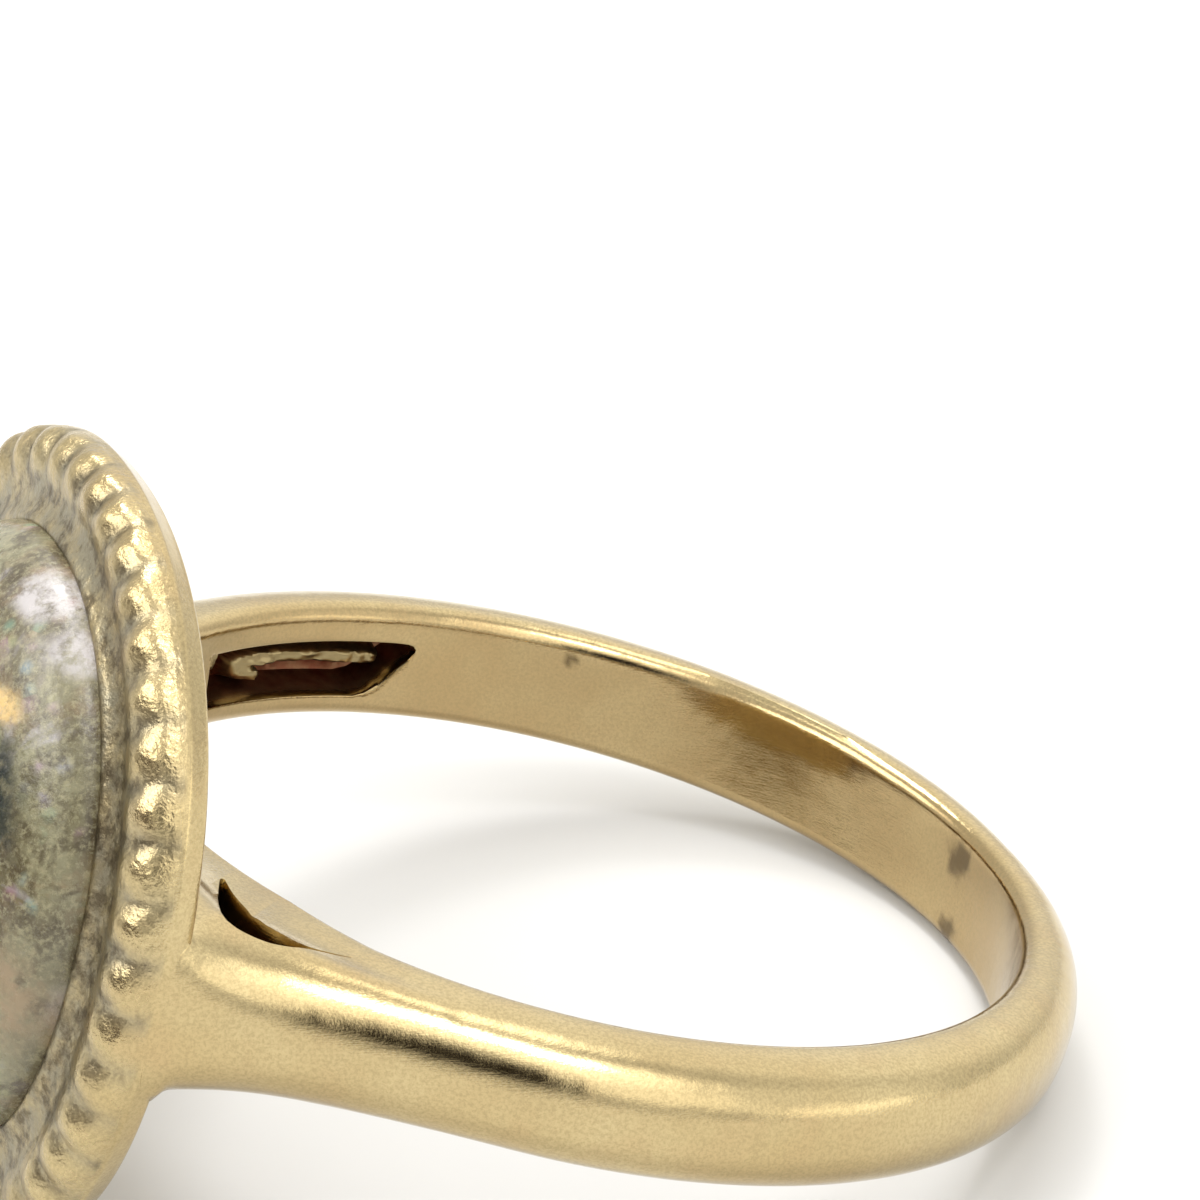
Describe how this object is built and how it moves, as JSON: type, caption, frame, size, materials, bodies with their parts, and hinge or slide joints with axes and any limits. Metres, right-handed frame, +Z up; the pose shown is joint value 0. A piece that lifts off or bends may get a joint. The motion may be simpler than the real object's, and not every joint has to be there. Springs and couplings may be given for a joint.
{
  "type": "opal ring",
  "caption": "Gold finger ring lying on its side, with hollowed shoulders and an oval head whose fluted border holds a domed opal.",
  "frame": {"origin": "centre of the ring's bounding box, on the surface that the ring lies on", "axes": "+Z up; -X towards the head and +X towards the back of the hoop; Y across the hoop, whose two shoulders mirror each other in the plane Y = 0"},
  "size_m": [0.0222, 0.0202, 0.0135],
  "materials": {
    "gold": "satin, worn, tarnished in its hollows",
    "opal": "polished, milky grey-green"
  },
  "bodies": {
    "root": {"ring_mount": "gold", "opal": "opal"}
  },
  "joints": []
}
